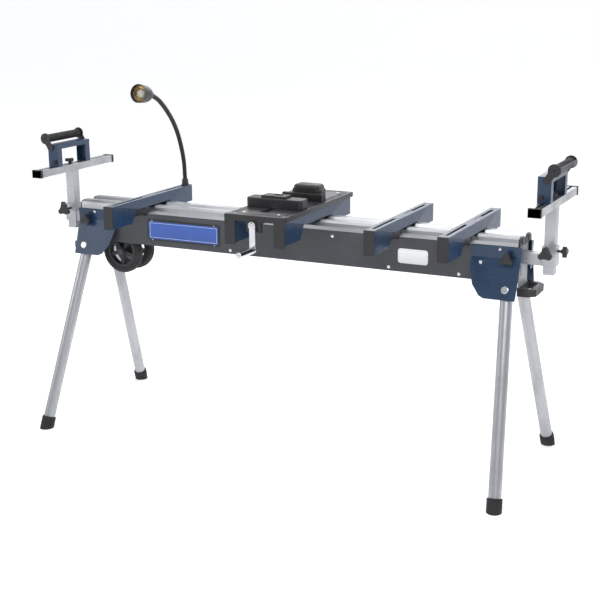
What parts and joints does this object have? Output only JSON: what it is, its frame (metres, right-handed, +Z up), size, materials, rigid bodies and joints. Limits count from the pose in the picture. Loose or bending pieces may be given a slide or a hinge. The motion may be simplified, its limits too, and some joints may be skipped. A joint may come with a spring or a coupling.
{
  "type": "mitre saw stand",
  "caption": "Folding work stand for a mitre saw: twin-rail beam on splayed legs, sliding slotted brackets, screw vise, roller end supports and a flexible lamp.",
  "frame": {"origin": "on the floor, under the middle of the outline of the whole stand", "axes": "+X along the beam towards the end without the transport wheels, -Y the front where the vise crank is, +Z up"},
  "size_m": [1.82, 0.7155, 1.1735],
  "materials": {
    "anodised": "satin anodised",
    "zinc_tube": "satin",
    "silver_paint": "satin",
    "graphite_paint": "satin",
    "grey_paint": "satin",
    "black_plastic": "matte",
    "black_rubber": "matte",
    "blue_paint": "gloss",
    "badge_blue": "gloss",
    "label_white": "satin",
    "bright_steel": "polished",
    "black_paint": "satin",
    "lamp_glass": "clear"
  },
  "bodies": {
    "beam": {"rail_extrusion": "anodised", "rail_end_caps": "black_plastic", "beam_panel_front": "graphite_paint", "beam_panel_rear": "graphite_paint", "arm_guides": "black_plastic", "end_plates": "grey_paint", "carry_handles": "black_plastic", "badge_frame": "black_plastic", "badge_plate": "badge_blue", "blank_label": "label_white", "leg_plates": "blue_paint", "beam_bolts": "bright_steel", "wheel_mount": "graphite_paint", "vise_plate": "black_paint", "vise_channels": "blue_paint", "vise_front_frame": "black_plastic", "vise_jaw_fixed": "black_plastic"},
    "leg_front_left": {"leg_tube_front_left": "zinc_tube", "leg_foot_front_left": "black_rubber"},
    "leg_rear_left": {"leg_tube_rear_left": "zinc_tube", "leg_foot_rear_left": "black_rubber"},
    "arm_left": {"support_arm_left": "silver_paint", "sleeve_knobs_left": "black_plastic"},
    "post_left": {"support_post_left": "silver_paint", "cross_bar_left": "anodised"},
    "head_left": {"head_frame_left": "blue_paint", "head_knobs_left": "black_plastic"},
    "flip_left": {"flip_cradle_left": "black_plastic"},
    "roller_left": {"support_roller_left": "black_rubber"},
    "arm_lock_left": {"arm_lock_knob_left": "black_plastic"},
    "leg_front_right": {"leg_tube_front_right": "zinc_tube", "leg_foot_front_right": "black_rubber"},
    "leg_rear_right": {"leg_tube_rear_right": "zinc_tube", "leg_foot_rear_right": "black_rubber"},
    "arm_right": {"support_arm_right": "silver_paint", "sleeve_knobs_right": "black_plastic"},
    "post_right": {"support_post_right": "silver_paint", "cross_bar_right": "anodised"},
    "head_right": {"head_frame_right": "blue_paint", "head_knobs_right": "black_plastic"},
    "flip_right": {"flip_cradle_right": "black_plastic"},
    "roller_right": {"support_roller_right": "black_rubber"},
    "arm_lock_right": {"arm_lock_knob_right": "black_plastic"},
    "wheel_front": {"wheel_rim_front": "black_plastic", "wheel_tyre_front": "black_rubber"},
    "wheel_rear": {"wheel_rim_rear": "black_plastic", "wheel_tyre_rear": "black_rubber"},
    "bracket_left": {"saw_bracket_left": "blue_paint", "bracket_cap_left": "black_plastic", "lamp": "black_paint", "lamp_bulb": "lamp_glass"},
    "lever_left": {"clamp_lever_left": "black_paint"},
    "bracket_middle": {"saw_bracket_middle": "blue_paint", "bracket_cap_middle": "black_plastic"},
    "lever_middle": {"clamp_lever_middle": "black_paint"},
    "bracket_right": {"saw_bracket_right": "blue_paint", "bracket_cap_right": "black_plastic"},
    "lever_right": {"clamp_lever_right": "black_paint"},
    "vise_screw": {"vise_crank": "bright_steel"},
    "vise_slide": {"vise_jaw_moving": "black_plastic"}
  },
  "joints": [
    {"name": "leg_front_left_fold", "type": "hinge", "parent": "beam", "child": "leg_front_left", "pos_m": [-0.754, -0.03775, 0.606], "axis": [0, -0.9385, 0.3453], "range_deg": [0, 94]},
    {"name": "leg_rear_left_fold", "type": "hinge", "parent": "beam", "child": "leg_rear_left", "pos_m": [-0.754, 0.11025, 0.606], "axis": [0, -0.9385, -0.3453], "range_deg": [0, 94]},
    {"name": "arm_left_extend", "type": "slide", "parent": "beam", "child": "arm_left", "axis": [-1, 0, 0], "range_m": [-0.008, 0.22]},
    {"name": "post_left_height", "type": "slide", "parent": "arm_left", "child": "post_left", "axis": [0, 0, 1], "range_m": [-0.1, 0.04]},
    {"name": "head_left_slide", "type": "slide", "parent": "post_left", "child": "head_left", "axis": [0, 1, 0], "range_m": [-0.07, 0.11]},
    {"name": "flip_left_tilt", "type": "hinge", "parent": "head_left", "child": "flip_left", "pos_m": [-0.868, 0.02625, 0.948], "axis": [0, -1, 0], "range_deg": [-60, 50]},
    {"name": "roller_left_spin", "type": "hinge", "parent": "flip_left", "child": "roller_left", "pos_m": [-0.887, 0.02625, 0.977], "axis": [0, 1, 0], "continuous": true},
    {"name": "arm_lock_left_turn", "type": "hinge", "parent": "beam", "child": "arm_lock_left", "pos_m": [-0.753, -0.04375, 0.7025], "axis": [0, 1, 0], "range_deg": [0, 270]},
    {"name": "leg_front_right_fold", "type": "hinge", "parent": "beam", "child": "leg_front_right", "pos_m": [0.754, -0.03775, 0.606], "axis": [0, 0.9385, -0.3453], "range_deg": [0, 94]},
    {"name": "leg_rear_right_fold", "type": "hinge", "parent": "beam", "child": "leg_rear_right", "pos_m": [0.754, 0.11025, 0.606], "axis": [0, 0.9385, 0.3453], "range_deg": [0, 94]},
    {"name": "arm_right_extend", "type": "slide", "parent": "beam", "child": "arm_right", "axis": [1, 0, 0], "range_m": [-0.008, 0.22]},
    {"name": "post_right_height", "type": "slide", "parent": "arm_right", "child": "post_right", "axis": [0, 0, 1], "range_m": [-0.1, 0.04]},
    {"name": "head_right_slide", "type": "slide", "parent": "post_right", "child": "head_right", "axis": [0, 1, 0], "range_m": [-0.07, 0.11]},
    {"name": "flip_right_tilt", "type": "hinge", "parent": "head_right", "child": "flip_right", "pos_m": [0.868, 0.02625, 0.948], "axis": [0, 1, 0], "range_deg": [-60, 50]},
    {"name": "roller_right_spin", "type": "hinge", "parent": "flip_right", "child": "roller_right", "pos_m": [0.887, 0.02625, 0.977], "axis": [0, 1, 0], "continuous": true},
    {"name": "arm_lock_right_turn", "type": "hinge", "parent": "beam", "child": "arm_lock_right", "pos_m": [0.753, -0.04375, 0.7025], "axis": [0, 1, 0], "range_deg": [0, 270]},
    {"name": "wheel_front_spin", "type": "hinge", "parent": "beam", "child": "wheel_front", "pos_m": [-0.633, 0.00025, 0.593], "axis": [0, 1, 0], "continuous": true},
    {"name": "wheel_rear_spin", "type": "hinge", "parent": "beam", "child": "wheel_rear", "pos_m": [-0.633, 0.07225, 0.593], "axis": [0, 1, 0], "continuous": true},
    {"name": "bracket_left_slide", "type": "slide", "parent": "beam", "child": "bracket_left", "axis": [1, 0, 0], "range_m": [-0.09, 0.3]},
    {"name": "lever_left_release", "type": "hinge", "parent": "bracket_left", "child": "lever_left", "pos_m": [-0.512, -0.16875, 0.752], "axis": [-1, 0, 0], "range_deg": [0, 20]},
    {"name": "bracket_middle_slide", "type": "slide", "parent": "beam", "child": "bracket_middle", "axis": [1, 0, 0], "range_m": [-0.2, 0.08]},
    {"name": "lever_middle_release", "type": "hinge", "parent": "bracket_middle", "child": "lever_middle", "pos_m": [0.4, -0.16875, 0.752], "axis": [-1, 0, 0], "range_deg": [0, 20]},
    {"name": "bracket_right_slide", "type": "slide", "parent": "beam", "child": "bracket_right", "axis": [1, 0, 0], "range_m": [-0.1, 0.06]},
    {"name": "lever_right_release", "type": "hinge", "parent": "bracket_right", "child": "lever_right", "pos_m": [0.626, -0.16875, 0.752], "axis": [-1, 0, 0], "range_deg": [0, 20]},
    {"name": "crank_turn", "type": "hinge", "parent": "beam", "child": "vise_screw", "pos_m": [0.023, -0.25775, 0.784], "axis": [0, 1, 0], "range_deg": [-1800, 5400]},
    {"name": "jaw_travel", "type": "slide", "parent": "beam", "child": "vise_slide", "axis": [0, 1, 0], "range_m": [-0.03, 0.09]}
  ],
  "couplings": [
    {"joint": "jaw_travel", "follows": "crank_turn", "m_per_rad": 0.00095493}
  ]
}
